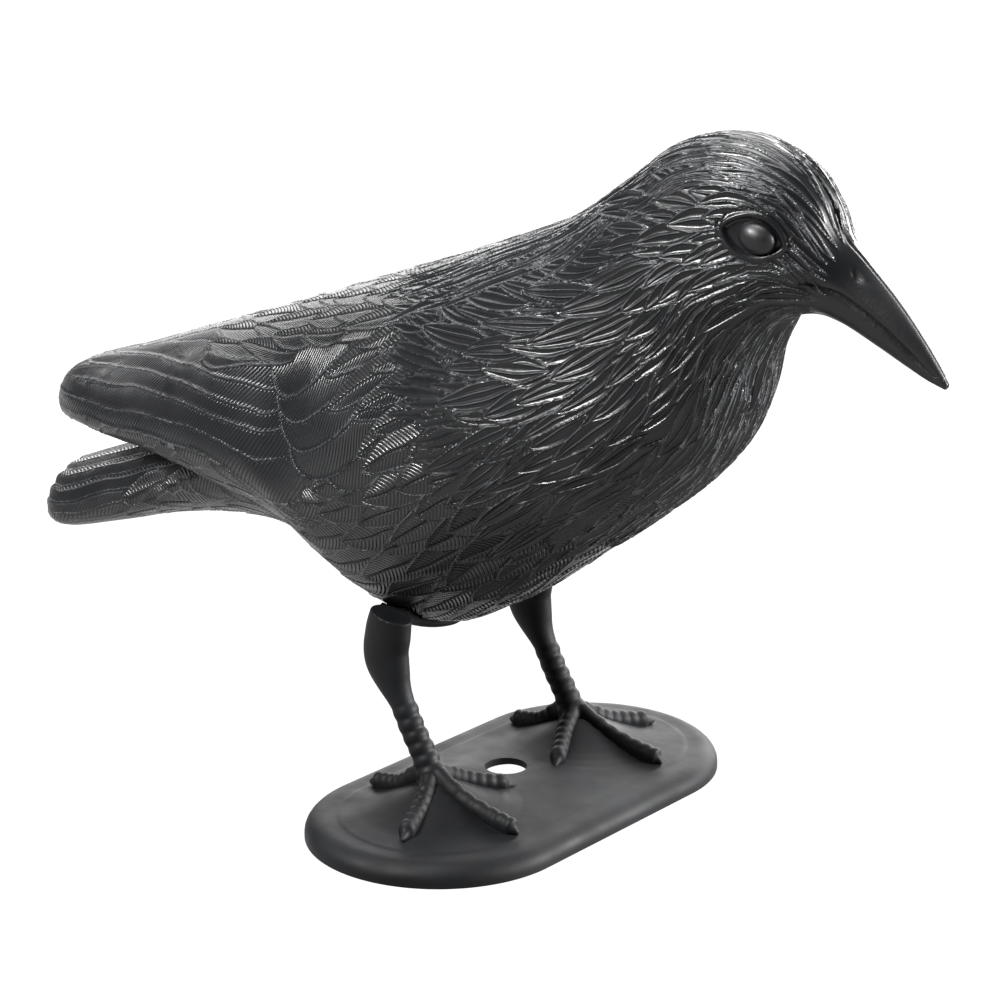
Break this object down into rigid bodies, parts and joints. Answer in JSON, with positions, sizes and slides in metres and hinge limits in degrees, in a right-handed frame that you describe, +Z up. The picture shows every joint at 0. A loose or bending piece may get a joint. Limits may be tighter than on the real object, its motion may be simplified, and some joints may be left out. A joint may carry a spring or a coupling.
{
  "type": "decoy crow figure",
  "caption": "Hollow moulded crow decoy with folded wings, standing on a moulded base with legs, toes and a belly saddle.",
  "frame": {"origin": "middle of the whole object's box, on the floor that it stands on", "axes": "+Z up, the bill points along -Y, the bird's left side is towards +X"},
  "size_m": [0.1756, 0.389, 0.2458],
  "materials": {
    "crow_plastic": "satin black moulded plastic with feather relief",
    "stand_plastic": "matt black moulded plastic"
  },
  "bodies": {
    "root": {"crow_body": "crow_plastic", "stand": "stand_plastic"}
  },
  "joints": []
}
